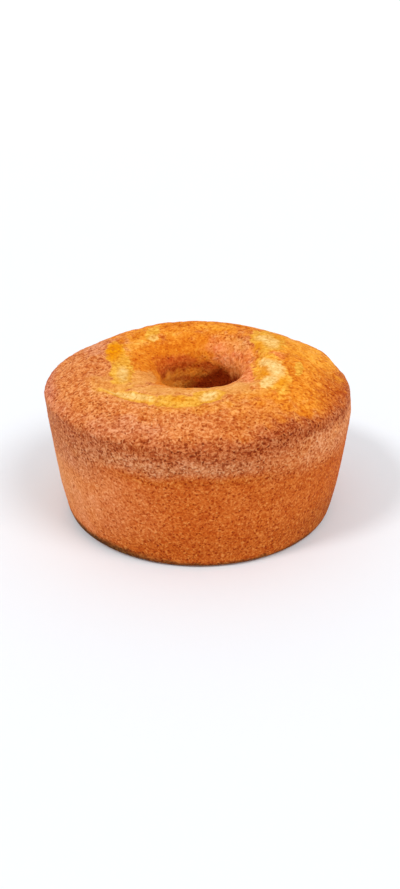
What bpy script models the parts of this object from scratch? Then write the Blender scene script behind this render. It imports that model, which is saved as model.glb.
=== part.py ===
"""A cornmeal cake baked in a ring tin: one solid with a hole down its middle.

It stands as it was baked. The flat base, the tapered wall and the conical hole are the shape
that the tin gave it. The domed top is what rose above the tin's rim: a browned crust that slopes
down to the rim outside, rounds over into the hole inside, and has split along its crest.

Units are metres, +Z is up, and the origin is the middle of the base.
"""

from dataclasses import dataclass
from math import atan2, cos, exp, hypot, pi, radians, sin, sqrt

import bmesh
import bpy

# What the tin gives the cake
RIM_RADIUS = 0.110
RIM_HEIGHT = 0.0938
BASE_RADIUS = 0.1008
BASE_CORNER = 0.0045
WALL_SHIFT = 0.0014  # the crust spread towards -X, so the wall's circles lie this far towards +X
WALL_SHIFT_DEPTH = 0.013  # how far below the rim the wall is on its own circles
HOLE_SHIFT = 0.0026  # how far the hole's circles lie towards +X
HOLE_RADIUS_AT_TOP = 0.0285
HOLE_RADIUS_AT_BASE = 0.0325
HOLE_CORNER = 0.0020

# The dome that rose above the rim
CREST_RADIUS = 0.061
CREST_SHIFT = -0.006  # the crest's circle lies this far towards -X
CREST_RISE = 0.0192
CREST_TILT = 0.0045  # it rose unevenly: higher by this on one side, lower on the other
MOUTH_TILT = 0.0027  # the same for the level where the hole's straight wall begins
TILT_ANGLE = 55.0  # degrees from +X, where both are highest
DOME_POWER = 1.97
RIM_EDGE_INWARDS = 0.0025  # the rim's rounded edge: how far it reaches in over the dome
RIM_EDGE_DOWN = 0.0035  # and how far down the wall

# The split in the crust, along a circle close to the crest
SPLIT_CENTRE = (-0.012, -0.011)
SPLIT_HALF_AXES = (0.0545, 0.0610)
SPLIT_TAPER = 9.0  # degrees over which a stretch of it closes at each end

# How finely the section and the turn are divided
TURN_STEPS = 96
HOLE_STEPS = 5
MOUTH_STEPS = 10
DOME_STEPS = 17
RIM_STEPS = 3
WALL_STEPS = 8
CORNER_STEPS = 2
BASE_STEPS = 3

CRUST_COLOUR = "#C9783F"
CRUST_ROUGHNESS = 0.78


@dataclass(frozen=True)
class Swell:
    """A soft rise, or a hollow where its height is negative, at a place on the top or the wall."""

    angle: float  # degrees from +X, about +Z
    spread: float  # degrees to each side
    height: float
    radius: float = 0.0
    width: float = 1.0

    def at(self, angle: float, radius: float = 0.0) -> float:
        turn = (angle - radians(self.angle) + pi) % (2 * pi) - pi
        along = turn / radians(self.spread)
        across = (radius - self.radius) / self.width
        return self.height * exp(-(along**2) - across**2)


@dataclass(frozen=True)
class Split:
    """One stretch of the split: a shallow trench between two lips of crust."""

    start: float  # degrees from +X, about the split's own centre
    end: float
    width: float
    depth: float

    def at(self, turn: float, off: float) -> float:
        """The change in height at an angle about the split's centre, off metres outside its circle."""
        middle = radians(self.start + self.end) / 2
        half = radians(self.end - self.start) / 2
        away = abs((turn - middle + pi) % (2 * pi) - pi)
        taper = soft_step((half - away) / radians(SPLIT_TAPER))
        trench = exp(-((off / (0.5 * self.width)) ** 4))
        lip = exp(-(((off - 0.85 * self.width) / (0.35 * self.width)) ** 2))
        return taper * self.depth * (0.35 * lip - trench)


SPLITS = (
    Split(150, 207, 0.0100, 0.0018),
    Split(207, 262, 0.0065, 0.0022),
    Split(262, 300, 0.0095, 0.0016),
    Split(318, 388, 0.0085, 0.0024),
    Split(34, 62, 0.0090, 0.0018),
    Split(112, 140, 0.0070, 0.0016),
)

# Uneven rising: swells of the rim's height, of the dome and of the wall
RIM_SWELLS = (
    Swell(-57, 11, 0.0050),
    Swell(-88, 14, -0.0018),
    Swell(-24, 15, -0.0018),
    Swell(75, 26, -0.0014),
)
DOME_SWELLS = (
    Swell(165, 10, 0.0012, 0.1015, 0.005),
    Swell(148, 22, -0.0012, 0.092, 0.012),
    Swell(62, 24, -0.0013, 0.088, 0.014),
    Swell(22, 16, 0.0029, 0.1005, 0.007),
    Swell(12, 6, -0.0024, 0.1066, 0.0024),
    Swell(-120, 28, -0.0010, 0.086, 0.014),
    Swell(-35, 24, 0.0009, 0.084, 0.015),
)
# Waves round the wall, as (waves in a turn, size, phase in radians)
WALL_WAVES = ((2, 0.0004, 0.4), (3, 0.0005, 1.9), (5, 0.0003, 4.2))


def soft_step(x: float) -> float:
    """0 below 0, 1 above 1 and a smooth climb between them."""
    x = min(max(x, 0.0), 1.0)
    return x * x * (3 - 2 * x)


def circle_at(angle: float, radius: float, shift: float) -> float:
    """How far from the axis a circle lies at an angle, where its centre is shifted along X."""
    return shift * cos(angle) + sqrt(radius**2 - (shift * sin(angle)) ** 2)


def rim_height(angle: float) -> float:
    return RIM_HEIGHT + sum(swell.at(angle) for swell in RIM_SWELLS)


def crust_relief(angle: float, radius: float) -> float:
    """Swells and splits of the dome's crust, as a change of height."""
    x = radius * cos(angle) - SPLIT_CENTRE[0]
    y = radius * sin(angle) - SPLIT_CENTRE[1]
    turn = atan2(y, x)
    half_x, half_y = SPLIT_HALF_AXES
    off = hypot(x, y) - 1 / hypot(cos(turn) / half_x, sin(turn) / half_y)
    swells = sum(swell.at(angle, radius) for swell in DOME_SWELLS)
    return swells + sum(split.at(turn, off) for split in SPLITS)


def wall_radius(angle: float, height: float) -> float:
    """The wall's taper, with the slight waves that a cake has as it comes away from its tin."""
    share = height / RIM_HEIGHT
    taper = (RIM_RADIUS - BASE_RADIUS) * share
    shift = WALL_SHIFT * cos(angle) * soft_step((RIM_HEIGHT - height) / WALL_SHIFT_DEPTH)
    wave = sum(size * sin(count * angle + phase) for count, size, phase in WALL_WAVES)
    return BASE_RADIUS + taper + shift + wave * sin(0.8 * pi * min(share, 1.0))


def between(start: tuple, end: tuple, steps: int) -> list:
    """The points that divide a straight line, without its ends."""
    shares = [step / steps for step in range(1, steps)]
    return [tuple(a + (b - a) * share for a, b in zip(start, end)) for share in shares]


def base_corner(radius: float) -> list:
    """The rounded lower edge, from the flat base out and up to the wall."""
    turns = [0.5 * pi * step / CORNER_STEPS for step in range(CORNER_STEPS + 1)]
    return [
        (radius - BASE_CORNER * (1 - sin(turn)), BASE_CORNER * (1 - cos(turn))) for turn in turns
    ]


def rim_edge(start: tuple, middle: tuple, end: tuple) -> list:
    """The rounded edge from wall to dome: a curve drawn towards the middle point, without its ends."""
    points = []
    for step in range(1, RIM_STEPS):
        t = step / RIM_STEPS
        shares = ((1 - t) ** 2, 2 * t * (1 - t), t**2)
        points.append(
            tuple(sum(w * p[i] for w, p in zip(shares, (start, middle, end))) for i in (0, 1))
        )
    return points


def dome(angle: float) -> list:
    """The top from the hole's straight wall, over the crest, to where the rim's rounding begins."""
    crest = circle_at(angle, CREST_RADIUS, CREST_SHIFT)
    hole = circle_at(angle, HOLE_RADIUS_AT_TOP, HOLE_SHIFT)
    tilt = cos(angle - radians(TILT_ANGLE))
    top = RIM_HEIGHT + CREST_RISE + CREST_TILT * tilt
    mouth = RIM_HEIGHT + MOUTH_TILT * tilt
    points = []
    for step in range(MOUTH_STEPS):
        turn = 0.5 * pi * step / MOUTH_STEPS
        radius = crest - (crest - hole) * cos(turn)
        points.append((radius, mouth + (top - mouth) * sin(turn)))
    edge = RIM_RADIUS - RIM_EDGE_INWARDS
    for step in range(DOME_STEPS + 1):
        radius = crest + (edge - crest) * step / DOME_STEPS
        fall = ((radius - crest) / (RIM_RADIUS - crest)) ** DOME_POWER
        points.append((radius, top - (top - rim_height(angle)) * fall))
    return [(radius, height + crust_relief(angle, radius)) for radius, height in points]


def section(angle: float) -> list:
    """The cake's outline in the half plane at an angle, as (radius, height), anticlockwise."""
    rim = rim_height(angle)
    hole = circle_at(angle, HOLE_RADIUS_AT_BASE, HOLE_SHIFT)
    hole_edge = [(hole, HOLE_CORNER), (hole + HOLE_CORNER, 0.0)]
    outer_edge = base_corner(wall_radius(angle, 0.0))
    base = between(hole_edge[-1], outer_edge[0], BASE_STEPS)
    wall = []
    for step in range(1, WALL_STEPS + 1):
        height = BASE_CORNER + (rim - RIM_EDGE_DOWN - BASE_CORNER) * step / WALL_STEPS
        wall.append((wall_radius(angle, height), height))
    top = dome(angle)
    rim_point = (wall_radius(angle, rim), rim)
    rounding = rim_edge(wall[-1], rim_point, top[-1])
    hole_wall = between(top[0], hole_edge[0], HOLE_STEPS)
    return hole_edge + base + outer_edge + wall + rounding + top[::-1] + hole_wall


def turned_cake() -> bpy.types.Mesh:
    """The section spun once round the axis, then each point set to its own angle's section."""
    shape = bmesh.new()
    place = shape.verts.layers.int.new("section_point")
    outline = []
    for index, (radius, height) in enumerate(section(0.0)):
        vert = shape.verts.new((radius, 0.0, height))
        vert[place] = index
        outline.append(vert)
    edges = [shape.edges.new(pair) for pair in zip(outline, outline[1:] + outline[:1])]
    bmesh.ops.spin(
        shape,
        geom=outline + edges,
        cent=(0, 0, 0),
        axis=(0, 0, 1),
        angle=2 * pi,
        steps=TURN_STEPS,
        use_merge=True,
    )
    sections = {}
    for vert in shape.verts:
        turn_step = round(atan2(vert.co.y, vert.co.x) / (2 * pi) * TURN_STEPS) % TURN_STEPS
        angle = 2 * pi * turn_step / TURN_STEPS
        if turn_step not in sections:
            sections[turn_step] = section(angle)
        radius, height = sections[turn_step][vert[place]]
        vert.co = (radius * cos(angle), radius * sin(angle), height)
    bmesh.ops.recalc_face_normals(shape, faces=shape.faces)
    mesh = bpy.data.meshes.new("cornmeal_cake")
    shape.to_mesh(mesh)
    shape.free()
    mesh.shade_smooth()
    mesh.set_sharp_from_angle(angle=radians(50))
    return mesh


def linear(hex_colour: str) -> tuple:
    """An sRGB colour such as "#C9783F" as linear RGBA."""
    levels = [int(hex_colour[start : start + 2], 16) / 255 for start in (1, 3, 5)]
    return tuple(v / 12.92 if v <= 0.04045 else ((v + 0.055) / 1.055) ** 2.4 for v in levels) + (1.0,)


def crust_material() -> bpy.types.Material:
    material = bpy.data.materials.new("baked_crust")
    material.use_nodes = True
    surface = material.node_tree.nodes["Principled BSDF"]
    surface.inputs["Base Color"].default_value = linear(CRUST_COLOUR)
    surface.inputs["Roughness"].default_value = CRUST_ROUGHNESS
    surface.inputs["Metallic"].default_value = 0.0
    return material


def main() -> None:
    for old in list(bpy.data.objects):
        bpy.data.objects.remove(old, do_unlink=True)
    cake = bpy.data.objects.new("cornmeal_cake", turned_cake())
    cake.data.materials.append(crust_material())
    bpy.context.scene.collection.objects.link(cake)


main()
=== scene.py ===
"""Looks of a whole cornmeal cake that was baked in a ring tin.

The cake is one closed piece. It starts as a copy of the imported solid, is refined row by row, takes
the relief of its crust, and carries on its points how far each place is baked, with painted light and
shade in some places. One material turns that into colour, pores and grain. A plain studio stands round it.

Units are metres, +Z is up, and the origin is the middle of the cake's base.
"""

import logging
import math
from dataclasses import dataclass, field
from enum import Enum
from typing import Any

import bmesh
import bpy
import numpy as np
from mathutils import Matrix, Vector, noise


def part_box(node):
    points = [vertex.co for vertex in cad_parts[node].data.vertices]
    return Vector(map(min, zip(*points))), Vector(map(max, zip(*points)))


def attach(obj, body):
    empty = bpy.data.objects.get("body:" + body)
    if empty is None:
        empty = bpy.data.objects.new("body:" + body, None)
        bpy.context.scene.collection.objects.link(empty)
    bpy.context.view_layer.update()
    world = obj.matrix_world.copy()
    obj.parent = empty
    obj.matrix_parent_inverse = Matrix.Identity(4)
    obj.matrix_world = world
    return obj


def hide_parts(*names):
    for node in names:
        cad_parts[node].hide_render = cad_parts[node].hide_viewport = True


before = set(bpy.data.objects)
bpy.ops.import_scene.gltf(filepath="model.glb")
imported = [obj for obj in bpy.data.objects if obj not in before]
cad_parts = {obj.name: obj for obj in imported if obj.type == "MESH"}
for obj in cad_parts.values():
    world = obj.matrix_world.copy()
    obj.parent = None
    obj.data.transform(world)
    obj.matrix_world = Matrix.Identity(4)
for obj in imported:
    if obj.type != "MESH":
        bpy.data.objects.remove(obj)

log = logging.getLogger("cornmeal_cake")
MM = 0.001
NOISE_GAIN = 1.6  # brings smooth noise to about -1 to 1
GAP_START = 0.42  # of the crumbs' spacing: where the gap beside a crumb begins,
GAP_MIDDLE = 0.9  # and where it is deepest


def linear(hex_colour: str) -> tuple[float, float, float, float]:
    """Turns an sRGB colour into the linear colour that shaders take.

    Args:
        hex_colour: A colour such as "#E2864D".

    Returns:
        Linear red, green, blue and an alpha of 1.
    """
    levels = [int(hex_colour[start : start + 2], 16) / 255 for start in (1, 3, 5)]
    red, green, blue = (v / 12.92 if v <= 0.04045 else ((v + 0.055) / 1.055) ** 2.4 for v in levels)
    return (red, green, blue, 1.0)


def add_node(
    tree: bpy.types.NodeTree,
    kind: str,
    settings: dict[str, Any] | None = None,
    inputs: dict[str | int, Any] | None = None,
) -> bpy.types.Node:
    """Adds a node with its settings and its links.

    Args:
        tree: The node tree that takes it.
        kind: The node's type name, such as "ShaderNodeMath".
        settings: Its properties by name.
        inputs: For each input, by name or number, the output that feeds it, or its value.

    Returns:
        The node.
    """
    node = tree.nodes.new(kind)
    for name, value in (settings or {}).items():
        setattr(node, name, value)
    for key, value in (inputs or {}).items():
        if isinstance(value, bpy.types.NodeSocket):
            tree.links.new(value, node.inputs[key])
        else:
            node.inputs[key].default_value = value
    return node


def soft_step(value: np.ndarray, start: float, end: float) -> np.ndarray:
    """Climbs smoothly from 0 to 1.

    Args:
        value: The numbers to read.
        start: Where the climb begins. It may lie above end, and the climb is then downwards.
        end: Where the climb ends.

    Returns:
        A share from 0 to 1 for each number.
    """
    share = np.clip((value - start) / (end - start), 0.0, 1.0)
    return share * share * (3.0 - 2.0 * share)


def unevenness(points: np.ndarray, size: float, seed: int, octaves: int = 1) -> np.ndarray:
    """Smooth noise in space, the same at every run.

    Args:
        points: Places, as rows of x, y and z.
        size: The distance over which it goes from a high to a low place.
        seed: Which noise of that size.
        octaves: How many finer layers it holds.

    Returns:
        A number for each point, mostly between -1 and 1.
    """
    away = Vector((17.3, -9.1, 5.7)) * seed
    if octaves == 1:
        values = [noise.noise(Vector(point) + away) for point in points / size]
    else:
        values = [noise.fractal(Vector(point) + away, 1.0, 2.0, octaves) for point in points / size]
    return np.array(values) * NOISE_GAIN


def gaps_between_crumbs(points: np.ndarray, size: float, seed: int) -> np.ndarray:
    """The gaps between rounded crumbs that lie close together.

    Args:
        points: Places, as rows of x, y and z.
        size: The distance between neighbouring crumbs.
        seed: Which set of that size.

    Returns:
        0 on top of a crumb, and 1 in the middle of a gap.
    """
    away = Vector((-4.9, 13.7, 8.3)) * seed
    nearest = [noise.voronoi(Vector(point) + away)[0][0] for point in points / size]
    return soft_step(np.array(nearest), GAP_START, GAP_MIDDLE)


@dataclass(frozen=True)
class Ramp:
    """A smooth climb from 0 at start to 1 at end, or a fall where start lies above end."""

    start: float
    end: float

    def at(self, value: np.ndarray) -> np.ndarray:
        """The share from 0 to 1 at each value."""
        return soft_step(value, self.start, self.end)


@dataclass(frozen=True)
class Sector:
    """A stretch of turns to both sides of its middle, in degrees from +X, that fades at its ends."""

    middle: float
    fade: Ramp

    def at(self, angle: np.ndarray) -> np.ndarray:
        """The share from 0 to 1 at angles in degrees."""
        return self.fade.at(np.abs(angle - self.middle))


@dataclass(frozen=True)
class Swell:
    """A soft rise of the rim, or a hollow where its height is negative."""

    angle: float
    spread: float
    height: float

    def at(self, angle: np.ndarray) -> np.ndarray:
        """The change of height at angles in degrees."""
        turn = (angle - self.angle + 180.0) % 360.0 - 180.0
        return self.height * np.exp(-((turn / self.spread) ** 2))


@dataclass(frozen=True)
class Ripple:
    """Soft rises and hollows: their size, their height, and how much of that height the wall has."""

    size: float
    height: float
    seed: int
    on_wall: float = 1.0

    def at(self, points: np.ndarray, dome: np.ndarray) -> np.ndarray:
        """The rise at each point.

        Args:
            points: Places, as rows of x, y and z.
            dome: How far each of them belongs to the dome.

        Returns:
            Its height in metres, negative in a hollow.
        """
        share = self.on_wall + (1.0 - self.on_wall) * dome
        return self.height * unevenness(points, self.size, self.seed) * share


@dataclass(frozen=True)
class Crust:
    """How a place of the crust came out of the oven, or the painted light or shade laid on it.

    colour is its middle brown as sRGB. grain is how strongly the fine meal shows, and crumb how
    strongly the coarser crumbs stand out.
    """

    colour: str
    grain: float
    crumb: float


class Tone(Enum):
    """The kinds of crust that this cake has, and the painted light and shade on some of them."""

    WALL = Crust("#C76020", 0.92, 0.15)
    # painted sheen: the wall lighter towards its left silhouette
    WALL_LEFT = Crust("#DC7D44", 0.78, 0.15)
    WALL_LOW = Crust("#C05C1C", 1.02, 0.15)
    # painted sheen: the whole left side lighter and paler
    WALL_SIDE = Crust("#D98F57", 0.75, 0.15)
    WALL_SHADED = Crust("#A35019", 0.90, 0.20)
    BAND = Crust("#C5774A", 1.50, 0.00)
    BAND_LEFT = Crust("#BF6C40", 1.30, 0.10)
    # painted light: the band lighter on the right, where more light falls
    BAND_RIGHT = Crust("#DA844E", 1.22, 0.10)
    BASE_EDGE = Crust("#4B3012", 0.60, 0.20)
    BASE = Crust("#B8642F", 0.70, 0.40)
    # painted shade under the dome's overhanging foot
    CREASE = Crust("#B25728", 1.45, 0.10)
    SHOULDER = Crust("#C77156", 1.10, 0.90)
    BROWN_FOOT = Crust("#BE6026", 1.00, 0.90)
    LUMP = Crust("#EC8C45", 0.50, 1.00)
    BURNT_GOLD = Crust("#CC680B", 0.50, 0.90)
    TAN_DOME = Crust("#D57A3C", 1.06, 1.00)
    WARM_DOME = Crust("#D17437", 1.00, 1.00)
    PINK_DOME = Crust("#D5845B", 1.00, 1.00)
    GOLDEN_DOME = Crust("#E1801E", 0.52, 1.10)
    REDDISH_DOME = Crust("#B34716", 0.85, 0.90)
    LIGHT_GOLD = Crust("#EE9B2D", 0.42, 0.95)
    DEEP_GOLD = Crust("#DF8400", 0.35, 0.60)
    WARM_RIM = Crust("#E49A4C", 0.42, 0.60)
    PALE_CRUMB = Crust("#E19B30", 0.34, 1.10)
    CREAM_CRUMB = Crust("#EDBF72", 0.34, 1.20)
    FUNNEL = Crust("#DB7717", 0.50, 0.60)
    PINK_FUNNEL = Crust("#E9854F", 0.60, 1.10)
    # painted shade in the folds and ledges of the mouth
    FUNNEL_BROWN = Crust("#C4561A", 0.60, 0.40)
    # painted light: the hole's wall lighter than the crust, for light on its left side
    TUBE_LEFT = Crust("#FF9D33", 0.50, 0.40)
    # painted shade: the deep right side of the hole and the part under its lip
    TUBE_DARK = Crust("#8F3007", 0.50, 0.40)


@dataclass(frozen=True)
class Patch:
    """A part of the crust with its own tone: an ellipse with a ragged edge.

    On the top, x, y and the half sizes along and across it are in millimetres as seen from above. On
    the hole's wall, x is the angle in degrees and y the height in millimetres.
    """

    name: str
    tone: Tone
    x: float
    y: float
    along: float
    across: float
    turn: float = 0.0
    cover: float = 1.0
    soft: float = 0.5
    ragged: float = 0.35

    def share(self, across: np.ndarray, up: np.ndarray, noise_there: np.ndarray) -> np.ndarray:
        """How far the patch covers each point.

        Args:
            across: The points' first coordinate, in the patch's own unit.
            up: Their second coordinate.
            noise_there: Noise that moves the patch's edge in and out.

        Returns:
            A share from 0 to cover for each point.
        """
        x, y = across - self.x, up - self.y
        cosine, sine = math.cos(math.radians(self.turn)), math.sin(math.radians(self.turn))
        off = np.hypot((x * cosine + y * sine) / self.along, (y * cosine - x * sine) / self.across)
        return self.cover * soft_step(off + self.ragged * noise_there, 1.0 + self.soft, 1.0 - self.soft)


@dataclass(frozen=True)
class Belt:
    """A stretch of the wall with its own tone: between two heights, and to both sides of a turn.

    Heights and fade are in millimetres above the base, turn, half and side_fade in degrees from +X.
    """

    name: str
    tone: Tone
    low: float
    high: float
    turn: float
    half: float
    fade: float
    side_fade: float
    cover: float = 1.0

    def share(self, turn: np.ndarray, height: np.ndarray) -> np.ndarray:
        """How far the belt covers each point.

        Args:
            turn: The points' angle about the axis in degrees.
            height: Their height in millimetres, moved up and down a little so that edges waver.

        Returns:
            A share from 0 to cover for each point.
        """
        away = np.abs((turn - self.turn + 180.0) % 360.0 - 180.0)
        sideways = soft_step(away, self.half + self.side_fade, self.half - self.side_fade)
        above = soft_step(height, self.low - self.fade, self.low + self.fade)
        below = soft_step(height, self.high + self.fade, self.high - self.fade)
        return self.cover * sideways * above * below


# The wall, from its general browning to the band that lies under the dome's foot.
BELTS = (
    # painted sheen: this belt and the next lighten the left wall towards its silhouette
    Belt("left front, lighter", Tone.WALL_LEFT, 6, 80, -142, 28, 12, 20),
    Belt("left side, pale", Tone.WALL_SIDE, 14, 130, -182, 40, 24, 32, 0.85),
    Belt("low part, deeper", Tone.WALL_LOW, -20, 26, -85, 45, 16, 20),
    Belt("right, low and dark", Tone.WALL_SHADED, -20, 26, -22, 22, 20, 26, 0.8),
    Belt("line under the band", Tone.WALL_LOW, 66, 72, -88, 35, 2.0, 15, 0.8),
    Belt("band, left and front", Tone.BAND, 73.5, 120, -105, 40, 4.5, 15, 0.9),
    Belt("band, far left", Tone.BAND_LEFT, 60, 120, -152, 25, 11, 10, 0.9),
    Belt("band, left side", Tone.BAND_LEFT, 66, 120, -190, 22, 11, 14, 0.8),
    Belt("band, back", Tone.BAND, 75, 120, 90, 90, 8.0, 20, 0.7),
    # painted light: the band lighter on the right
    Belt("band, right", Tone.BAND_RIGHT, 69, 120, -30, 28, 11, 15),
)
# The darker crease straight under the dome's foot, painted shade under its overhang. It is laid after the
# dome.
CREASE = (
    Belt("crease, front", Tone.CREASE, 83.0, 120, -88, 33, 4.0, 15),
    Belt("crease, left", Tone.CREASE, 83.0, 120, -136, 13, 4.0, 13, 0.7),
    Belt("crease, right", Tone.CREASE, 87.6, 120, -38, 30, 3.6, 12),
    Belt("crease, back", Tone.CREASE, 85, 120, 90, 90, 3, 20),
)
# The darker line along the base.
FOOT_LINE = (
    Belt("left, dark line", Tone.BASE_EDGE, -3, 7.6, -134, 24, 2.4, 14, 0.9),
    Belt("left side, darker line", Tone.BASE_EDGE, -3, 4.6, -182, 26, 2.2, 16, 0.5),
    Belt("front, dark line", Tone.BASE_EDGE, -3, 4.0, -75, 45, 1.4, 20, 0.7),
    Belt("all round, darker line", Tone.BASE_EDGE, -3, 3.5, 90, 130, 1.4, 20, 0.5),
)
# The dome's whole skin.
FIELDS = (
    Patch("front right of the dome", Tone.WARM_DOME, 30, -88, 40, 22, 0, soft=0.6),
    Patch("right side of the dome", Tone.GOLDEN_DOME, 77, -15, 75, 42, 90, soft=0.35),
    Patch("front right, golden", Tone.GOLDEN_DOME, 54, -68, 32, 15, 38, cover=0.6, soft=0.7),
    Patch("front right, yellow", Tone.LIGHT_GOLD, 36, -60, 22, 6, 35, cover=0.4, soft=0.8),
    Patch("right edge, reddish", Tone.REDDISH_DOME, 97, -30, 36, 13, 73, cover=0.6, soft=0.6),
    Patch("back right of the dome", Tone.LIGHT_GOLD, 74, 22, 34, 26, 110, cover=0.8),
    Patch("back of the dome", Tone.GOLDEN_DOME, 0, 72, 92, 38, 0, soft=0.35),
    Patch("between mouth and left split", Tone.LIGHT_GOLD, -42, 6, 48, 14, 90, cover=0.75, soft=0.4),
    Patch("front, inside the split", Tone.WARM_RIM, -6, -50, 44, 14, 0, soft=0.4),
    Patch("front, gold below the split", Tone.LIGHT_GOLD, -4, -77, 22, 5, 0, cover=0.4, soft=0.7),
    Patch("front left, pinkish", Tone.PINK_DOME, -46, -94, 30, 12, -28, cover=0.65, soft=0.5),
    Patch("front left foot, browner", Tone.BROWN_FOOT, -54, -84, 34, 8, -36, cover=0.28),
    Patch("front right foot, browner", Tone.BROWN_FOOT, 38, -88, 19, 8, 22, cover=0.45),
    Patch("right of the mouth, pinkish", Tone.PINK_FUNNEL, 35, -14, 27, 6, 90, cover=0.9, soft=0.4),
    Patch("front right of the mouth", Tone.WARM_RIM, 27, -53, 14, 8, 30, cover=0.8),
    Patch("lump in the right split", Tone.LUMP, 55, -4, 8, 6, -35),
    Patch("beside the lump", Tone.BURNT_GOLD, 66, -4, 5, 5, 0, cover=0.7),
    Patch("behind the lump", Tone.BURNT_GOLD, 67, 19, 6, 4, 70, cover=0.6),
    Patch("outside the right split", Tone.BURNT_GOLD, 64, -32, 9, 3, 85, cover=0.5),
    Patch("back, left of the pale part", Tone.BURNT_GOLD, 42, 42, 6, 5, 0, cover=0.6),
    Patch("back left, reddish", Tone.BURNT_GOLD, -43, 46, 10, 4, 55, cover=0.8),
    Patch("left, behind the gold", Tone.BURNT_GOLD, -58, 29, 9, 4, 80, cover=0.8),
    Patch("back, reddish spot", Tone.BURNT_GOLD, 6, 44, 4, 3, 0, cover=0.7),
    Patch("far back, browned", Tone.BURNT_GOLD, -14, 61, 11, 5, 5, cover=0.8),
    Patch("far back, browned, right", Tone.BURNT_GOLD, 30, 56, 9, 5, -20, cover=0.7),
    Patch("back, lighter", Tone.LIGHT_GOLD, 14, 53, 12, 5, -10, cover=0.7),
    Patch("back, lighter, left", Tone.LIGHT_GOLD, -18, 45, 6, 5, 20, cover=0.6),
    Patch("left back, tan", Tone.PINK_DOME, -76, 30, 24, 9, 100, cover=0.6),
)
# The wall of the hole, from its lip down. Its folds, its ledges and the part under its lip carry painted
# shade, and its lit fold and lit wall painted light.
HOLE_WALL = (
    Patch("left, lit fold", Tone.TUBE_LEFT, 118, 89.3, 30, 4.5, 0),
    # painted shade: this patch and the next three darken folds and ledges
    Patch("left, browned", Tone.FUNNEL_BROWN, 140, 99.5, 28, 4.5, 0, cover=0.8),
    Patch("back left, browned ledge", Tone.FUNNEL_BROWN, 116, 97.5, 27, 5.5, 0, cover=0.9, soft=0.35),
    Patch("far left, browned fold", Tone.FUNNEL_BROWN, 160, 94.8, 13, 3.2, 0, cover=0.9),
    Patch("back, dark ledge", Tone.FUNNEL_BROWN, 78, 94, 20, 3.4, 0, cover=0.9),
    Patch("left front, lighter lip", Tone.WARM_RIM, -150, 104.8, 20, 4.2, 8.5, cover=0.7, soft=0.4),
    Patch("right, lit wall", Tone.LUMP, 24, 99, 22, 6.5, 0, cover=0.75),
    Patch("back right, lighter lip", Tone.WARM_RIM, 42, 112, 17, 4, 0, cover=0.5),
    # painted shade under the lip
    Patch("front right, under the lip", Tone.TUBE_DARK, -42, 98, 30, 4.5, 0, cover=0.9),
    # painted shade in a lower fold
    Patch("left, lower fold", Tone.FUNNEL_BROWN, 112, 85, 26, 2.4, 4, cover=0.8),
)
# The torn places round the mouth, where pale crumb shows between the skin.
SPLITS = (
    Patch("left, deep gold", Tone.DEEP_GOLD, -60, 13, 19, 6.5, 97, ragged=0.3),
    Patch("left, torn crumb", Tone.PALE_CRUMB, -52, -20, 26, 7.5, 92, ragged=0.3),
    Patch("left, cream", Tone.CREAM_CRUMB, -51, -24, 13, 3.5, 95, cover=0.7, ragged=0.3),
    Patch("left, foot", Tone.WARM_RIM, -52, -47, 10, 5, 10, cover=0.8),
    Patch("front left, ridge", Tone.PALE_CRUMB, -41, -59, 26, 3.6, -27, ragged=0.2),
    Patch("front left, ridge, cream", Tone.CREAM_CRUMB, -41, -58.5, 20, 2.2, -27, cover=0.8, ragged=0.2),
    Patch("front, left part", Tone.PALE_CRUMB, -13, -69, 18, 7, -8, cover=0.8),
    Patch("front, golden middle", Tone.DEEP_GOLD, -12, -66, 5, 3.5, 0, cover=0.5),
    Patch("front, right part", Tone.PALE_CRUMB, 6, -64, 11, 8, 30),
    Patch("front, cream", Tone.CREAM_CRUMB, 8, -62, 6, 4, 50, cover=0.9),
    Patch("right, golden ground", Tone.LIGHT_GOLD, 50, -28, 30, 11, 97, cover=0.9),
    Patch("right, yellow pocket", Tone.DEEP_GOLD, 46, -33, 10, 4, 80, cover=0.8),
    Patch("right, lower pocket", Tone.DEEP_GOLD, 55, -46, 5, 4, 70, cover=0.7),
    Patch("right, torn crumb", Tone.CREAM_CRUMB, 54, -26, 11, 5.5, 88),
    Patch("right, upper crumb", Tone.CREAM_CRUMB, 47.5, -13, 7, 3.2, -70, cover=0.9, ragged=0.25),
    Patch("right, lower crumb", Tone.CREAM_CRUMB, 47.5, -45, 10, 4.2, 60, ragged=0.25),
    Patch("right, outer streak", Tone.PALE_CRUMB, 70, -23, 12, 3.0, 80, cover=0.8, ragged=0.3),
    Patch("back right, torn crumb", Tone.PALE_CRUMB, 52, 24, 22, 12, 95),
    Patch("back right, pocket", Tone.DEEP_GOLD, 45, 14, 6, 3.5, 90, cover=0.6),
    Patch("back right, far pocket", Tone.DEEP_GOLD, 62, 36, 8, 6, 70, cover=0.7),
    Patch("back right, cream", Tone.CREAM_CRUMB, 54, 19, 12, 5, 95, cover=0.6),
    Patch("back right, near the mouth", Tone.CREAM_CRUMB, 47, 27, 5, 4, 90, cover=0.5),
    Patch("back left, torn crumb", Tone.PALE_CRUMB, -34, 48, 12, 5, 85),
    Patch("back left, cream", Tone.CREAM_CRUMB, -33, 40, 4, 4, 0, cover=0.5),
)


Layers = list[tuple[Tone, np.ndarray]]


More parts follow.
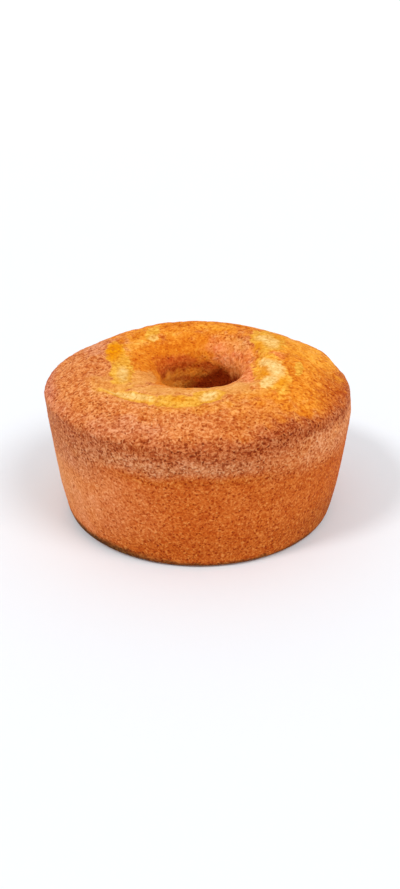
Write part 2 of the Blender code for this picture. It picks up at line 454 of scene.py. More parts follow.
@dataclass
class CakeSurface:
    """The points of the cake's mesh, and where each lies in the cake's own terms.

    foot_level is the height of the dome's foot, which is where the dome meets the wall, at the turn
    of each point.
    """

    points: np.ndarray
    normals: np.ndarray
    foot_level: np.ndarray

    @property
    def angle(self) -> np.ndarray:
        """Degrees from +X about the axis."""
        return np.degrees(np.arctan2(self.points[:, 1], self.points[:, 0]))

    @property
    def radius(self) -> np.ndarray:
        """Distance from the axis."""
        return np.hypot(self.points[:, 0], self.points[:, 1])

    @property
    def height(self) -> np.ndarray:
        """Distance above the base."""
        return self.points[:, 2]

    @property
    def below_foot(self) -> np.ndarray:
        """Distance below the dome's foot, negative on the dome."""
        return self.foot_level - self.height

    @property
    def facing_down(self) -> np.ndarray:
        """1 where the surface faces the floor, 0 where it stands upright, -1 where it faces up."""
        return -self.normals[:, 2]


@dataclass
class CrustZones:
    """The parts of the crust: for each, how far every point belongs to it, from 0 to 1.

    The sizes say where each part fades in or out, and how far noise moves its edge. Radii are measured
    from the axis, heights from the base, depths down from the mouth's bottom.
    """

    surface: CakeSurface
    ragged_size: float = 7 * MM
    wavy_size: float = 22 * MM
    outside_radii: Ramp = Ramp(79 * MM, 85 * MM)  # the wall lies outside these, the hole's wall inside
    dome_edge: Ramp = Ramp(-3 * MM, 3 * MM)  # below the dome's foot
    dome_edge_waver: float = 1.6 * MM
    firm_dome_edge: Ramp = Ramp(-1 * MM, 3 * MM)
    crown_heights: Ramp = Ramp(55 * MM, 75 * MM)
    shoulder_radii: Ramp = Ramp(97 * MM, 109 * MM)
    shoulder_waver: float = 3 * MM
    foot_radii: Ramp = Ramp(100 * MM, 109 * MM)
    foot_waver: float = 2 * MM
    crest_centre: float = -6 * MM  # along X: the crest is a ring of its own, off the cake's axis
    crest_radius: float = 61 * MM
    funnel_edge: Ramp = Ramp(-12 * MM, -24 * MM)  # outwards from the crest
    funnel_waver: float = 5 * MM
    pinkish_side: Ramp = Ramp(2 * MM, 16 * MM)  # along X
    blotch_size: float = 7 * MM
    blotches: Ramp = Ramp(-0.5, 0.5)
    least_pink: float = 0.45  # between the blotches
    mouth_bottom: float = 94 * MM
    tube_depths: Ramp = Ramp(-9 * MM, 5 * MM)
    tube_waver: float = 2.5 * MM
    # painted shade on the hole's wall: on the right, and further round with depth
    shaded_side: Ramp = Ramp(0.0, 20 * MM)  # along X, and further round with depth
    dark_side_slope: float = 1.2
    base_facing: Ramp = Ramp(0.5, 0.9)
    lower_edge_radii: Ramp = Ramp(83 * MM, 87 * MM)
    lower_edge_facing: Ramp = Ramp(0.97, 0.75)
    belt_waver: tuple[float, float] = (1.3, 0.6)  # mm, from the broad and from the ragged noise
    ragged: np.ndarray = field(init=False)
    wavy: np.ndarray = field(init=False)

    def __post_init__(self) -> None:
        """Draws the noise that makes the edges ragged and lets the belts waver."""
        self.ragged = unevenness(self.surface.points, self.ragged_size, seed=1, octaves=3)
        self.wavy = unevenness(self.surface.points, self.wavy_size, seed=2)

    @property
    def outside(self) -> np.ndarray:
        """The outer wall and the dome above it."""
        return self.outside_radii.at(self.surface.radius)

    @property
    def inside(self) -> np.ndarray:
        """The hole's wall and the dome round it."""
        return 1.0 - self.outside

    @property
    def dome(self) -> np.ndarray:
        """All but the outer wall."""
        edge = self.surface.below_foot + self.dome_edge_waver * self.ragged
        return 1.0 - self.outside * self.dome_edge.at(edge)

    @property
    def firm_dome(self) -> np.ndarray:
        """The same with a sharper edge, for the relief."""
        return 1.0 - self.outside * self.firm_dome_edge.at(self.surface.below_foot)

    @property
    def crown(self) -> np.ndarray:
        """The dome without the base and the low part of the hole's wall."""
        return self.dome * self.crown_heights.at(self.surface.height)

    @property
    def wall(self) -> np.ndarray:
        """The outer wall."""
        return self.outside * (1.0 - self.dome)

    @property
    def shoulder(self) -> np.ndarray:
        """The dome's outer part."""
        wavering = self.surface.radius + self.shoulder_waver * self.wavy
        return self.dome * self.outside * self.shoulder_radii.at(wavering)

    @property
    def foot(self) -> np.ndarray:
        """The dome's outermost part."""
        wavering = self.surface.radius + self.foot_waver * self.ragged
        return self.dome * self.outside * self.foot_radii.at(wavering)

    @property
    def funnel(self) -> np.ndarray:
        """The slope from the crest down into the mouth.

        Returns:
            Its share at each point.
        """
        off_axis = self.surface.points[:, 0] - self.crest_centre
        from_crest = np.hypot(off_axis, self.surface.points[:, 1]) - self.crest_radius
        return self.inside * self.funnel_edge.at(from_crest + self.funnel_waver * self.ragged)

    @property
    def pinkish_funnel(self) -> np.ndarray:
        """The blotchy right side of that slope.

        Returns:
            Its share at each point.
        """
        blotchy = self.blotches.at(unevenness(self.surface.points, self.blotch_size, seed=11))
        side = self.pinkish_side.at(self.surface.points[:, 0] + self.funnel_waver * self.ragged)
        return self.funnel * side * (self.least_pink + (1.0 - self.least_pink) * blotchy)

    @property
    def depth(self) -> np.ndarray:
        """Distance below the mouth's bottom."""
        return self.mouth_bottom - self.surface.height

    @property
    def tube(self) -> np.ndarray:
        """The steep wall of the hole."""
        return self.inside * self.tube_depths.at(self.depth + self.tube_waver * self.ragged)

    @property
    def shaded_tube(self) -> np.ndarray:
        """Its darker right side, which reaches all round further down: painted shade in the deep part of
        the hole.
        """
        return self.tube * self.shaded_side.at(self.surface.points[:, 0] + self.dark_side_slope * self.depth)

    @property
    def base(self) -> np.ndarray:
        """The flat underside."""
        return self.base_facing.at(self.surface.facing_down)

    @property
    def lower_edge(self) -> np.ndarray:
        """The wall down to the rounded edge of the base, without the underside."""
        down = self.lower_edge_facing.at(self.surface.facing_down)
        return self.lower_edge_radii.at(self.surface.radius) * down

    @property
    def belt_height(self) -> np.ndarray:
        """Height in millimetres, moved up and down so that the belts' edges waver."""
        broad, fine = self.belt_waver
        return self.surface.height / MM + broad * self.wavy + fine * self.ragged


@dataclass(frozen=True)
class CrustRelief:
    """The relief of the crust that is finer than the solid's own."""

    swells: Ripple = Ripple(19 * MM, 0.35 * MM, 3, 0.4)
    lumps: Ripple = Ripple(6.5 * MM, 0.36 * MM, 4, 0.25)
    grains: Ripple = Ripple(2.6 * MM, 0.10 * MM, 5)
    pit_depth: float = 0.34 * MM  # between crumbs
    crease_depth: float = 0.35 * MM
    crease_top: Ramp = Ramp(-2.5 * MM, 3.5 * MM)  # below the dome's foot
    crease_bottom: Ramp = Ramp(18 * MM, 3.5 * MM)
    crease_breaks: Ripple = Ripple(11 * MM, 0.4, 7)  # no height but a share of the crease's depth
    crease_least: float = 0.8
    wall_fullness: float = 1.1 * MM  # how far the soft wall bulges beyond the tin's straight line
    full_from: Ramp = Ramp(8 * MM, 30 * MM)
    full_to: Ramp = Ramp(91 * MM, 76 * MM)
    draw_in: float = 0.25 * MM  # makes room for the rises inside the solid's box
    flat_facing: Ramp = Ramp(0.3, 0.8)
    flat_limit: float = 0.95  # a point that is flatter keeps its height
    lip_drop: float = 2.6 * MM  # how far the mouth's lip sags at the front right
    lip_turn: tuple[float, float] = (-50.0, 32.0)  # its middle and its spread
    lip_radius: tuple[float, float] = (40 * MM, 13 * MM)
    lip_heights: Ramp = Ramp(70 * MM, 100 * MM)

    def flat(self, surface: CakeSurface) -> np.ndarray:
        """The flat base, which has no relief."""
        return self.flat_facing.at(surface.facing_down)

    def rise(
        self, zones: CrustZones, grain: np.ndarray, crumb: np.ndarray, hollow: np.ndarray
    ) -> np.ndarray:
        """How far each point moves along its normal.

        Args:
            zones: The parts of the crust.
            grain: How strongly the fine meal shows at each point.
            crumb: How strongly the coarser crumbs stand out.
            hollow: Where the gaps between crumbs are.

        Returns:
            The move in metres, negative where it goes inwards.
        """
        place = zones.surface
        points, below, dome = place.points, place.below_foot, zones.firm_dome
        crease = self.crease_top.at(below) * self.crease_bottom.at(below) * zones.outside
        broken = self.crease_least + self.crease_breaks.at(points, dome)
        full = self.full_from.at(place.height) * self.full_to.at(place.height) * zones.outside
        move = self.swells.at(points, dome) + self.lumps.at(points, dome)
        move += self.grains.at(points, dome) * grain - self.pit_depth * hollow * crumb * dome
        move += self.wall_fullness * full - self.crease_depth * crease * broken - self.draw_in
        return move * (1.0 - self.flat(place))

    def sag(self, surface: CakeSurface) -> np.ndarray:
        """How far each point sinks with the mouth's lip.

        Args:
            surface: The cake's surface.

        Returns:
            A distance in metres.
        """
        turn = (surface.angle - self.lip_turn[0]) / self.lip_turn[1]
        out = (surface.radius - self.lip_radius[0]) / self.lip_radius[1]
        return self.lip_drop * np.exp(-(turn**2 + out**2)) * self.lip_heights.at(surface.height)


@dataclass
class RingCake:
    """The whole cake: its solid's copy, refined, with the relief and the baking of its crust."""

    node: str = "cornmeal_cake"
    slot: str = "crust"
    merge_distance: float = 0.01 * MM
    wall_cuts: int = 1
    subdivisions: int = 2
    rim_height: float = 93.8 * MM
    rim_swells: tuple[Swell, ...] = (
        Swell(-57, 11, 5.0 * MM),
        Swell(-88, 14, -1.8 * MM),
        Swell(-24, 15, -1.8 * MM),
        Swell(75, 26, -1.4 * MM),
    )
    foot_rise: float = 2.2 * MM  # how much higher the dome's foot lies on the right than on the left
    foot_rise_sector: Sector = Sector(-45, Ramp(60, 40))
    front_foot: Swell = Swell(-95, 26, 1.7 * MM)
    wall_reach: float = 4 * MM  # how far above the rim the wall's upright edges end
    upright_edge_rise: float = 0.9  # of an edge's length
    upright_edge_length: float = 6 * MM
    upright_edge_turn: float = 1.0  # degrees
    front: Sector = Sector(-90, Ramp(75, 35))
    far_right: Sector = Sector(-20, Ramp(45, 15))
    front_right: Sector = Sector(-58, Ramp(50, 22))
    reddish_cover: float = 0.9
    shoulder_cover: float = 0.7
    brown_foot_cover: float = 0.8
    split_waver: float = 0.5  # of the fields' own
    drift_size: float = 13 * MM
    hue_drift: tuple[float, float, float] = (0.02, 0.06, 0.18)  # between pinkish and golden
    crumb_spacing: float = 2.9 * MM
    box_margin: float = 0.02 * MM
    relief: CrustRelief = CrustRelief()
    piece: bpy.types.Object | None = field(default=None, init=False)

    def build(self) -> None:
        """Makes the mesh: a merged copy of the solid, refined, with its relief and its baking."""
        self.piece = self.copy_of_solid()
        self.refine()
        zones = CrustZones(self.read_surface())
        self.write_baking(zones)
        self.raise_relief(zones)
        log.info("%s: %d points", self.piece.name, len(self.piece.data.vertices))

    def copy_of_solid(self) -> bpy.types.Object:
        """Copies the CAD node and leaves the node itself alone.

        Returns:
            The copy, with no parent, no material and none of the frame's own properties.
        """
        bpy.ops.object.select_all(action="DESELECT")
        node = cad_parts[self.node]
        node.select_set(True)
        bpy.context.view_layer.objects.active = node
        bpy.ops.object.duplicate()
        piece = bpy.context.view_layer.objects.active
        piece.parent = None
        for name in [key for key in piece.keys() if key.startswith("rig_")]:
            del piece[name]
        piece.name = "ring_cake"
        piece.data.name = "ring_cake"
        piece.data.materials.clear()
        return piece

    def refine(self) -> None:
        """Merges the loose triangles, pairs them to quads, divides the long rows and smooths it all."""
        bpy.ops.object.mode_set(mode="EDIT")
        bpy.ops.mesh.customdata_custom_splitnormals_clear()
        bpy.ops.mesh.select_all(action="SELECT")
        bpy.ops.mesh.remove_doubles(threshold=self.merge_distance)
        bpy.ops.mesh.tris_convert_to_quads(face_threshold=math.pi, shape_threshold=math.pi)
        bpy.ops.mesh.select_all(action="DESELECT")
        bpy.ops.mesh.select_mode(type="EDGE")
        self.select_upright_wall_edges()
        bpy.ops.mesh.subdivide(number_cuts=self.wall_cuts)
        bpy.ops.mesh.select_all(action="SELECT")
        bpy.ops.mesh.normals_make_consistent(inside=False)
        bpy.ops.object.mode_set(mode="OBJECT")
        smoothing = self.piece.modifiers.new("smooth", "SUBSURF")
        smoothing.levels = self.subdivisions
        smoothing.render_levels = self.subdivisions
        bpy.ops.object.modifier_apply(modifier=smoothing.name)
        bpy.ops.object.shade_smooth()

    def select_upright_wall_edges(self) -> None:
        """Selects the edges that run up the outer wall and down the hole's wall."""
        shape = bmesh.from_edit_mesh(self.piece.data)
        for edge in shape.edges:
            low, high = sorted((vert.co for vert in edge.verts), key=lambda co: co.z)
            rise = (high.z - low.z) / edge.calc_length()
            turned = math.degrees(abs(Vector(low.xy).angle_signed(Vector(high.xy), 0.0)))
            on_wall = high.z < self.rim_height + self.wall_reach
            long_enough = high.z - low.z > self.upright_edge_length
            upright = rise > self.upright_edge_rise and turned < self.upright_edge_turn
            edge.select_set(on_wall and long_enough and upright)
        bmesh.update_edit_mesh(self.piece.data)

    def read_surface(self) -> CakeSurface:
        """Reads the mesh's points and normals, and works out the dome's foot above each.

        Returns:
            The surface as it is before the relief.
        """
        mesh = self.piece.data
        points = np.empty(len(mesh.vertices) * 3, np.float32)
        mesh.vertices.foreach_get("co", points)
        normals = np.empty(len(mesh.vertices) * 3, np.float32)
        mesh.vertex_normals.foreach_get("vector", normals)
        points = points.reshape(-1, 3).astype(float)
        turn = np.degrees(np.arctan2(points[:, 1], points[:, 0]))
        foot = self.rim_height + sum(swell.at(turn) for swell in (*self.rim_swells, self.front_foot))
        foot += self.foot_rise * self.foot_rise_sector.at(turn)
        return CakeSurface(points, normals.reshape(-1, 3).astype(float), foot)

    def write_baking(self, zones: CrustZones) -> None:
        """Writes on every point the colour of skin and crumb, with painted light and shade in the skin's
        colour, and how grain and crumbs show.

        Args:
            zones: The parts of the crust.
        """
        skin, splits = self.skin_layers(zones), self.split_layers(zones)
        drift = unevenness(zones.surface.points, self.drift_size, seed=8, octaves=2)
        drift = drift[:, None] * np.array(self.hue_drift)
        self.write_colour("crust_colour_and_painted_light", self.blend(Tone.WALL, skin) * (1.0 + drift))
        self.write_colour("split_colour", self.blend(Tone.PALE_CRUMB, splits))
        self.write_share("split", np.max([share for _, share in splits], axis=0))
        for quality in ("grain", "crumb"):
            value = np.full(len(drift), getattr(Tone.WALL.value, quality))
            for tone, share in skin + splits:
                value += (getattr(tone.value, quality) - value) * share
            self.write_share(quality, value)

    def skin_layers(self, zones: CrustZones) -> Layers:
        """Lists the tones of the skin from the wall inwards, each laid over those before it, painted light
        and shade among them.

        Args:
            zones: The parts of the crust.

        Returns:
            Each tone with its share at every point.
        """
        place, ragged = zones.surface, zones.ragged
        turn, belt_height = place.angle, zones.belt_height
        far_right, front = self.far_right.at(turn), self.front.at(turn)
        wall, crown, inside, foot = zones.wall, zones.crown, zones.inside, zones.foot
        from_above = (place.points[:, 0] / MM, place.points[:, 1] / MM)
        height = place.height / MM
        shoulder = self.shoulder_cover * zones.shoulder * (1.0 - front) * (1.0 - far_right)
        return [
            *((belt.tone, wall * belt.share(turn, belt_height)) for belt in BELTS),
            (Tone.TAN_DOME, zones.dome),
            *((patch.tone, crown * patch.share(*from_above, ragged)) for patch in FIELDS),
            (Tone.REDDISH_DOME, self.reddish_cover * foot * far_right),
            (Tone.SHOULDER, shoulder),
            (Tone.BROWN_FOOT, self.brown_foot_cover * foot * self.front_right.at(turn)),
            # painted shade under the dome's foot
            *((belt.tone, wall * belt.share(turn, belt_height)) for belt in CREASE),
            (Tone.FUNNEL, zones.funnel),
            (Tone.PINK_FUNNEL, zones.pinkish_funnel),
            # painted light on the hole's wall
            (Tone.TUBE_LEFT, zones.tube),
            # painted shade deep in the hole
            (Tone.TUBE_DARK, zones.shaded_tube),
            *((patch.tone, inside * patch.share(turn, height, ragged)) for patch in HOLE_WALL),
            (Tone.BASE, zones.base),
            *((belt.tone, zones.lower_edge * belt.share(turn, height + ragged)) for belt in FOOT_LINE),
        ]

    def split_layers(self, zones: CrustZones) -> Layers:
        """Lists the tones of the torn crumb, each laid over those before it.

        Args:
            zones: The parts of the crust.

        Returns:
            Each tone with its share at every point.
        """
        crown, waver = zones.crown, self.split_waver * zones.ragged
        across, up = zones.surface.points[:, 0] / MM, zones.surface.points[:, 1] / MM
        return [(patch.tone, crown * patch.share(across, up, waver)) for patch in SPLITS]

    def blend(self, first: Tone, layers: Layers) -> np.ndarray:
        """Lays tones over each other.

        Args:
            first: The tone under all of them.
            layers: Each further tone, with its share at every point.

        Returns:
            Linear red, green and blue for each point.
        """
        colour = np.tile(linear(first.value.colour)[:3], (len(self.piece.data.vertices), 1))
        for tone, share in layers:
            colour += (np.array(linear(tone.value.colour)[:3]) - colour) * share[:, None]
        return colour

    def write_colour(self, name: str, colour: np.ndarray) -> None:
        """Writes one linear colour for each point as a named attribute.

        Args:
            name: The attribute's name.
            colour: Linear red, green and blue, a row for each point.
        """
        attribute = self.piece.data.attributes.new(name, "FLOAT_COLOR", "POINT")
        with_alpha = np.hstack([np.clip(colour, 0.0, 1.0), np.ones((len(colour), 1))])
        attribute.data.foreach_set("color", with_alpha.astype(np.float32).ravel())

    def write_share(self, name: str, value: np.ndarray) -> None:
        """Writes one number for each point as a named attribute."""
        attribute = self.piece.data.attributes.new(name, "FLOAT", "POINT")
        attribute.data.foreach_set("value", value.astype(np.float32))

    def read_share(self, name: str) -> np.ndarray:
        """Reads such an attribute back.

        Args:
            name: The attribute's name.

        Returns:
            Its number at each point.
        """
        value = np.empty(len(self.piece.data.vertices), np.float32)
        self.piece.data.attributes[name].data.foreach_get("value", value)
        return value.astype(float)

    def raise_relief(self, zones: CrustZones) -> None:
        """Moves every point along its normal by the relief, and keeps it inside the solid's box.

        Args:
            zones: The parts of the crust.
        """
        place = zones.surface
        hollow = gaps_between_crumbs(place.points, self.crumb_spacing, seed=6)
        self.write_share("hollow", hollow)
        rise = self.relief.rise(zones, self.read_share("grain"), self.read_share("crumb"), hollow)
        moved = place.points + place.normals * rise[:, None]
        moved[:, 2] -= self.relief.sag(place)
        low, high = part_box(self.node)
        moved = np.clip(moved, np.array(low) + self.box_margin, np.array(high) - self.box_margin)
        moved[:, 2] = np.where(self.relief.flat(place) > self.relief.flat_limit, place.height, moved[:, 2])
        self.piece.data.vertices.foreach_set("co", moved.astype(np.float32).ravel())
        self.piece.data.update()

    def dress(self) -> None:
        """Gives the piece its material, says what it rides on, and hides the solid it was copied from."""
        self.piece.data.materials.append(BakedCornmealCrust().material())
        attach(self.piece, "root")
        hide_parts(self.node)
        log.info("%s: dressed in baked cornmeal crust", self.piece.name)


@dataclass(frozen=True)
class Spots:
    """Round spots that lie apart, at most one in each cell, and each of its own strength.

    reach is a share of the spacing, and core the share of the reach inside which a spot is at its full
    strength. A higher rarity leaves fewer strong spots. gain is how much darker a strong one is, or
    lighter where it is negative.
    """

    spacing: float
    reach: float
    rarity: float
    gain: float
    core: float = 0.25

    def strength(self, tree: bpy.types.NodeTree, place: bpy.types.NodeSocket) -> bpy.types.NodeSocket:
        """Adds the nodes that draw the spots.

        Args:
            tree: The material's node tree.
            place: The coordinates to draw them on.

        Returns:
            0 between the spots, and up to 1 in the middle of a strong one.
        """
        cells = add_node(
            tree, "ShaderNodeTexVoronoi", {"feature": "F1"}, {"Vector": place, "Scale": 1.0 / self.spacing}
        ).outputs
        spot = add_node(
            tree,
            "ShaderNodeMapRange",
            {"interpolation_type": "SMOOTHSTEP"},
            {"Value": cells["Distance"], "From Min": self.reach, "From Max": self.core * self.reach},
        ).outputs["Result"]
        chance = add_node(tree, "ShaderNodeSeparateColor", inputs={"Color": cells["Color"]}).outputs["Red"]
        rare = add_node(
            tree, "ShaderNodeMath", {"operation": "POWER"}, {0: chance, 1: self.rarity}
        ).outputs[0]
        return add_node(tree, "ShaderNodeMath", {"operation": "MULTIPLY"}, {0: spot, 1: rare}).outputs[0]


@dataclass(frozen=True)
class BakedCornmealCrust:
    """Crust of a cornmeal sponge: sugar and fine maize meal, browned in the oven.

    It is matt, with open pores and toasted grains that are darker, and bare grains that are lighter.
    A deeper brown is more of the same pigment, so each channel of the middle brown falls or rises by
    a power. Real meal is 0.2 to 0.5 mm across, too fine to show, so its grains, dust, pores and bare
    grains are drawn at 1 to 2.5 mm.
    """

    meal_size: float = 1.9 * MM
    dust_size: float = 1.1 * MM
    mottle_size: float = 9.0 * MM
    crumb_spacing: float = 2.2 * MM
    warp_size: float = 2.6 * MM
    warp: float = 2.0 * MM
    pores: Spots = Spots(spacing=2.1 * MM, reach=0.56, rarity=1.1, gain=1.9)
    bare_grains: Spots = Spots(spacing=2.5 * MM, reach=0.45, rarity=1.4, gain=-1.3)
    bump_height: float = 0.22 * MM
    meal_gain: float = 1.85
    dust_gain: float = 2.0
    spots_mean: float = 0.15  # what the spots add on average, taken off again
    mottle_gain: float = 1.0
    gap_gain: float = 0.7
    clump_gain: float = 1.8
    hollow_gain: float = 0.6
    usual_gap: float = 0.32  # the mean over the surface, so that crumbs leave the middle brown alone
    tear_size: float = 4.0 * MM
    tear_gain: float = 2.2
    torn_from: float = 0.2
    torn_to: float = 0.62
    lightest: float = -1.1
    darkest: float = 1.5
    limit_softness: float = 0.6
    browning_power: float = 0.27
    browning_shade: float = -0.15
    light_roughness: float = 0.85
    brown_roughness: float = 0.7
    specular: float = 0.05

    def weighted(
        self,
        tree: bpy.types.NodeTree,
        terms: list[tuple[bpy.types.NodeSocket, Any]],
        start: Any,
    ) -> bpy.types.NodeSocket:
        """Adds nodes that sum outputs, each times its weight.

        Args:
            tree: The material's node tree.
            terms: Outputs, each with its weight, a number or another output.
            start: What the sum starts from, a number or another output.

        Returns:
            The sum.
        """
        total = start
        for output, weight in terms:
            inputs = {0: output, 1: weight, 2: total}
            total = add_node(tree, "ShaderNodeMath", {"operation": "MULTIPLY_ADD"}, inputs).outputs[0]
        return total

    def uneven_place(self, tree: bpy.types.NodeTree) -> bpy.types.NodeSocket:
        """Adds the object's coordinates, pushed about so that no grain is round or in a row.

        Args:
            tree: The material's node tree.

        Returns:
            The coordinates.
        """
        place = add_node(tree, "ShaderNodeTexCoord").outputs["Object"]
        push = add_node(
            tree,
            "ShaderNodeTexNoise",
            inputs={"Vector": place, "Scale": 1.0 / self.warp_size, "Detail": 0.0},
        ).outputs["Color"]
        middle = add_node(
            tree, "ShaderNodeVectorMath", {"operation": "SUBTRACT"}, {0: push, 1: (0.5, 0.5, 0.5)}
        ).outputs["Vector"]
        scaled = {0: middle, 1: (self.warp, self.warp, self.warp), 2: place}
        return add_node(
            tree, "ShaderNodeVectorMath", {"operation": "MULTIPLY_ADD"}, scaled
        ).outputs["Vector"]

    def fine_grain(
        self,
        tree: bpy.types.NodeTree,
        place: bpy.types.NodeSocket,
        meal: bpy.types.NodeSocket,
        dust: bpy.types.NodeSocket,
    ) -> bpy.types.NodeSocket:
        """Adds meal and dust, dark pores and pale bare grains.

        Args:
            tree: The material's node tree.
            place: The coordinates to draw them on.
            meal: Noise of the meal's size, from 0 to 1.
            dust: Noise of the dust's size.

        Returns:
            How much browner a place is than its surroundings, negative where it is lighter.
        """
        spots = [(kind.strength(tree, place), kind.gain) for kind in (self.pores, self.bare_grains)]
        terms = [(meal, -self.meal_gain), (dust, -self.dust_gain), *spots]
        return self.weighted(tree, terms, 0.5 * (self.meal_gain + self.dust_gain) - self.spots_mean)

    def coarse_crumb(
        self,
        tree: bpy.types.NodeTree,
        place: bpy.types.NodeSocket,
        hollow: bpy.types.NodeSocket,
        clump: bpy.types.NodeSocket,
    ) -> bpy.types.NodeSocket:
        """Adds crumbs that stick together in clumps, with gaps between them.

        Args:
            tree: The material's node tree.
            place: The coordinates to draw them on.
            hollow: Where the mesh has its own gaps between crumbs.
            clump: Noise of the clumps' size.

        Returns:
            How much browner a place is than its surroundings, negative where it is lighter.
        """
        spread = add_node(
            tree,
            "ShaderNodeTexVoronoi",
            {"feature": "F1"},
            {"Vector": place, "Scale": 1.0 / self.crumb_spacing},
        ).outputs["Distance"]
        gap = add_node(
            tree,
            "ShaderNodeMapRange",
            {"interpolation_type": "SMOOTHSTEP"},
            {"Value": spread, "From Min": GAP_START, "From Max": GAP_MIDDLE},
        ).outputs["Result"]
        terms = [(gap, self.gap_gain), (hollow, self.hollow_gain), (clump, -self.clump_gain)]
        middle = 0.5 * self.clump_gain - self.usual_gap * (self.gap_gain + self.hollow_gain)
        return self.weighted(tree, terms, middle)

    def middle_brown(
        self, tree: bpy.types.NodeTree, baked: dict[str, Any], tear: bpy.types.NodeSocket
    ) -> bpy.types.NodeSocket:
        """Adds the colour that grain and crumbs start from: skin, or torn crumb in the splits.

        Args:
            tree: The material's node tree.
            baked: The outputs of each attribute that the cake's points carry.
            tear: Noise that tears the splits' edges.

        Returns:
            The colour.
        """
        torn_share = self.weighted(tree, [(tear, self.tear_gain)], 1.0 - 0.5 * self.tear_gain)
        torn = add_node(
            tree,
            "ShaderNodeMapRange",
            {"interpolation_type": "SMOOTHSTEP"},
            {
                "Value": self.weighted(tree, [(baked["split"]["Fac"], torn_share)], 0.0),
                "From Min": self.torn_from,
                "From Max": self.torn_to,
            },
        ).outputs["Result"]
        colours = {6: baked["crust_colour_and_painted_light"]["Color"], 7: baked["split_colour"]["Color"]}
        return add_node(
            tree, "ShaderNodeMix", {"data_type": "RGBA"}, {"Factor": torn, **colours}
        ).outputs[2]

    def deepened(
        self, tree: bpy.types.NodeTree, colour: bpy.types.NodeSocket, browning: bpy.types.NodeSocket
    ) -> bpy.types.NodeSocket:
        """Adds nodes that deepen a colour as more of the same pigment does.

        Args:
            tree: The material's node tree.
            colour: The middle brown.
            browning: How much deeper it gets.

        Returns:
            The deeper colour, or a lighter one where browning is negative.
        """
        power = self.weighted(tree, [(browning, self.browning_power)], 1.0)
        shade = self.weighted(tree, [(browning, self.browning_shade)], 1.0)
        deeper = add_node(tree, "ShaderNodeGamma", inputs={"Color": colour, "Gamma": power})
        return add_node(
            tree,
            "ShaderNodeVectorMath",
            {"operation": "SCALE"},
            {0: deeper.outputs["Color"], "Scale": shade},
        ).outputs["Vector"]

    def material(self) -> bpy.types.Material:
        """Builds the material.

        Returns:
            The crust, ready for the cake's only slot.
        """
        crust = bpy.data.materials.new("baked_cornmeal_crust")
        crust.use_nodes = True
        tree = crust.node_tree
        tree.nodes.clear()
        place = self.uneven_place(tree)
        baked = {
            name: add_node(tree, "ShaderNodeAttribute", {"attribute_name": name}).outputs
            for name in ("crust_colour_and_painted_light", "split_colour", "split", "grain", "crumb", "hollow")
        }
        meal, dust, mottle, tear = (
            add_node(
                tree,
                "ShaderNodeTexNoise",
                inputs={"Vector": place, "Scale": 1.0 / size, "Detail": detail, "Roughness": 0.5},
            ).outputs["Fac"]
            for size, detail in (
                (self.meal_size, 0.0),
                (self.dust_size, 0.0),
                (self.mottle_size, 2.0),
                (self.tear_size, 1.0),
            )
        )
        fine = self.fine_grain(tree, place, meal, dust)
        coarse = self.coarse_crumb(tree, place, baked["hollow"]["Fac"], tear)
        baked_grain = [(fine, baked["grain"]["Fac"]), (coarse, baked["crumb"]["Fac"])]
        raised = self.weighted(tree, baked_grain, 0.0)
        browning = self.weighted(tree, [(mottle, self.mottle_gain), *baked_grain], -0.5 * self.mottle_gain)
        for operation, limit in (("SMOOTH_MAX", self.lightest), ("SMOOTH_MIN", self.darkest)):
            inputs = {0: browning, 1: limit, 2: self.limit_softness}
            browning = add_node(tree, "ShaderNodeMath", {"operation": operation}, inputs).outputs[0]
        bump = add_node(
            tree,
            "ShaderNodeBump",
            {"invert": True},
            {"Strength": 1.0, "Distance": self.bump_height, "Height": raised},
        ).outputs["Normal"]
        rough = add_node(
            tree,
            "ShaderNodeMapRange",
            inputs={
                "Value": browning,
                "From Min": -1.0,
                "From Max": 1.0,
                "To Min": self.light_roughness,
                "To Max": self.brown_roughness,
            },
        ).outputs["Result"]
        surface = add_node(
            tree,
            "ShaderNodeBsdfPrincipled",
            inputs={
                "Base Color": self.deepened(tree, self.middle_brown(tree, baked, tear), browning),
                "Roughness": rough,
                "Normal": bump,
                "Specular IOR Level": self.specular,
            },
        )
        add_node(tree, "ShaderNodeOutputMaterial", inputs={"Surface": surface.outputs["BSDF"]})
        return crust


@dataclass(frozen=True)
class PaintedFloor:
    """Matt white studio floor."""

    colour: str = "#EDF0F4"
    roughness: float = 0.9
    specular: float = 0.1

    def material(self) -> bpy.types.Material:
        """Builds the material.

        Returns:
            The floor's paint.
        """
        paint = bpy.data.materials.new("matt_white_paint")
        paint.use_nodes = True
        surface = paint.node_tree.nodes["Principled BSDF"]
        surface.inputs["Base Color"].default_value = linear(self.colour)
        surface.inputs["Roughness"].default_value = self.roughness
        surface.inputs["Specular IOR Level"].default_value = self.specular
        return paint


@dataclass(frozen=True)
class Lamp:
    """A soft light from one side and above.

    turn is in degrees from +X, height in degrees above the floor, and angle its width as seen from the
    cake, which softens its shade.
    """

    name: str
    turn: float
    height: float
    strength: float
    angle: float
    distance: float = 2.0

    def hang(self) -> None:
        """Adds the light."""
        turn, height = math.radians(self.turn), math.radians(self.height)
        towards = Vector(
            (math.cos(turn) * math.cos(height), math.sin(turn) * math.cos(height), math.sin(height))
        )
        bpy.ops.object.light_add(type="SUN", location=towards * self.distance)
        lamp = bpy.context.active_object
        lamp.name = self.name
        lamp.rotation_euler = towards.to_track_quat("Z", "Y").to_euler()
        lamp.data.energy = self.strength
        lamp.data.angle = math.radians(self.angle)


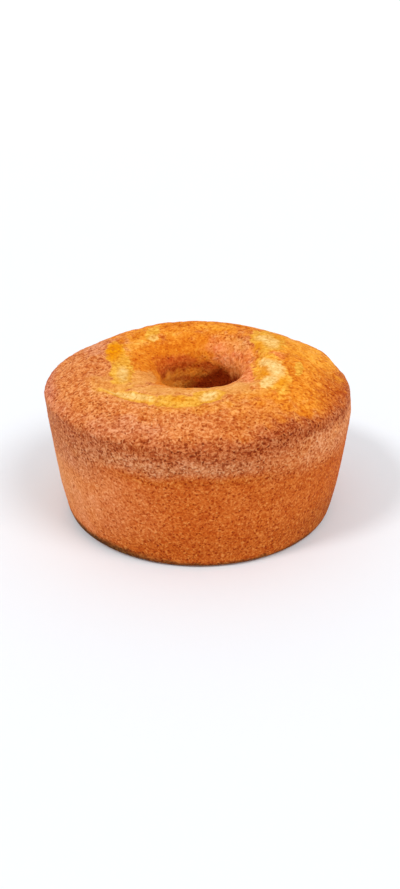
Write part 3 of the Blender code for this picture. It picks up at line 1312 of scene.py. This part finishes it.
@dataclass
class Studio:
    """A white floor whose rim curves up all round, two soft lights, an even white fill, the camera."""

    floor_radius: float = 6.0
    rim_height: float = 2.4
    rim_curve: float = 1.4
    rim_corners: int = 72
    rim_steps: int = 24
    lamps: tuple[Lamp, ...] = (
        Lamp("key_light", 212.0, 50.0, 1.0, 12.0),
        Lamp("right_light", -40.0, 52.0, 1.0, 25.0),
    )
    fill_strength: float = 0.66
    camera_target: tuple[float, float, float] = (2.0 * MM, 0.0, 41.8 * MM)
    camera_distance: float = 594.0 * MM
    camera_height: float = 26.7  # degrees
    lens: float = 31.94
    sensor_width: float = 36.0
    camera_reach: tuple[float, float] = (0.02, 60.0)

    def build(self) -> None:
        """Makes the floor, the lights and the camera."""
        self.lay_floor()
        self.hang_lights()
        self.place_camera()
        log.info("studio: floor, %d lamps, fill and camera", len(self.lamps))

    def lay_floor(self) -> None:
        """Makes a disc whose rim is drawn up and rounded, so that it closes the view at any turn."""
        bpy.ops.object.select_all(action="DESELECT")
        bpy.ops.mesh.primitive_circle_add(
            vertices=self.rim_corners, radius=self.floor_radius, fill_type="NGON", location=(0.0, 0.0, 0.0)
        )
        floor = bpy.context.active_object
        floor.name = "studio_floor"
        bpy.ops.object.mode_set(mode="EDIT")
        bpy.ops.mesh.select_mode(type="EDGE")
        bpy.ops.mesh.select_all(action="SELECT")
        bpy.ops.mesh.extrude_edges_move(TRANSFORM_OT_translate={"value": (0.0, 0.0, self.rim_height)})
        bpy.ops.mesh.select_all(action="DESELECT")
        shape = bmesh.from_edit_mesh(floor.data)
        for edge in shape.edges:
            edge.select_set(all(vert.co.z < MM for vert in edge.verts))
        bmesh.update_edit_mesh(floor.data)
        bpy.ops.mesh.bevel(offset=self.rim_curve, segments=self.rim_steps, affect="EDGES")
        bpy.ops.mesh.select_all(action="SELECT")
        bpy.ops.mesh.normals_make_consistent(inside=True)
        bpy.ops.object.mode_set(mode="OBJECT")
        bpy.ops.object.shade_smooth()
        floor.data.materials.append(PaintedFloor().material())

    def hang_lights(self) -> None:
        """Hangs the lamps, and adds a white surround that fills the shade."""
        for lamp in self.lamps:
            lamp.hang()
        world = bpy.data.worlds.new("white_surround")
        world.use_nodes = True
        background = world.node_tree.nodes["Background"]
        background.inputs["Color"].default_value = linear("#FFFFFF")
        background.inputs["Strength"].default_value = self.fill_strength
        bpy.context.scene.world = world
        bpy.context.scene.view_settings.view_transform = "Standard"

    def place_camera(self) -> None:
        """Puts the camera in front of the cake, looking down on it."""
        height = math.radians(self.camera_height)
        target = Vector(self.camera_target)
        back = Vector((0.0, -math.cos(height), math.sin(height)))
        bpy.ops.object.camera_add(location=target + back * self.camera_distance)
        camera = bpy.context.active_object
        camera.name = "camera"
        camera.rotation_euler = back.to_track_quat("Z", "Y").to_euler()
        camera.data.lens = self.lens
        camera.data.sensor_width = self.sensor_width
        camera.data.clip_start, camera.data.clip_end = self.camera_reach
        bpy.context.scene.camera = camera


def main() -> None:
    """Builds the cake and the studio."""
    logging.basicConfig(level=logging.INFO, format="%(message)s")
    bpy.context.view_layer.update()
    cake = RingCake()
    cake.build()
    cake.dress()
    Studio().build()


if __name__ == "__main__":
    main()
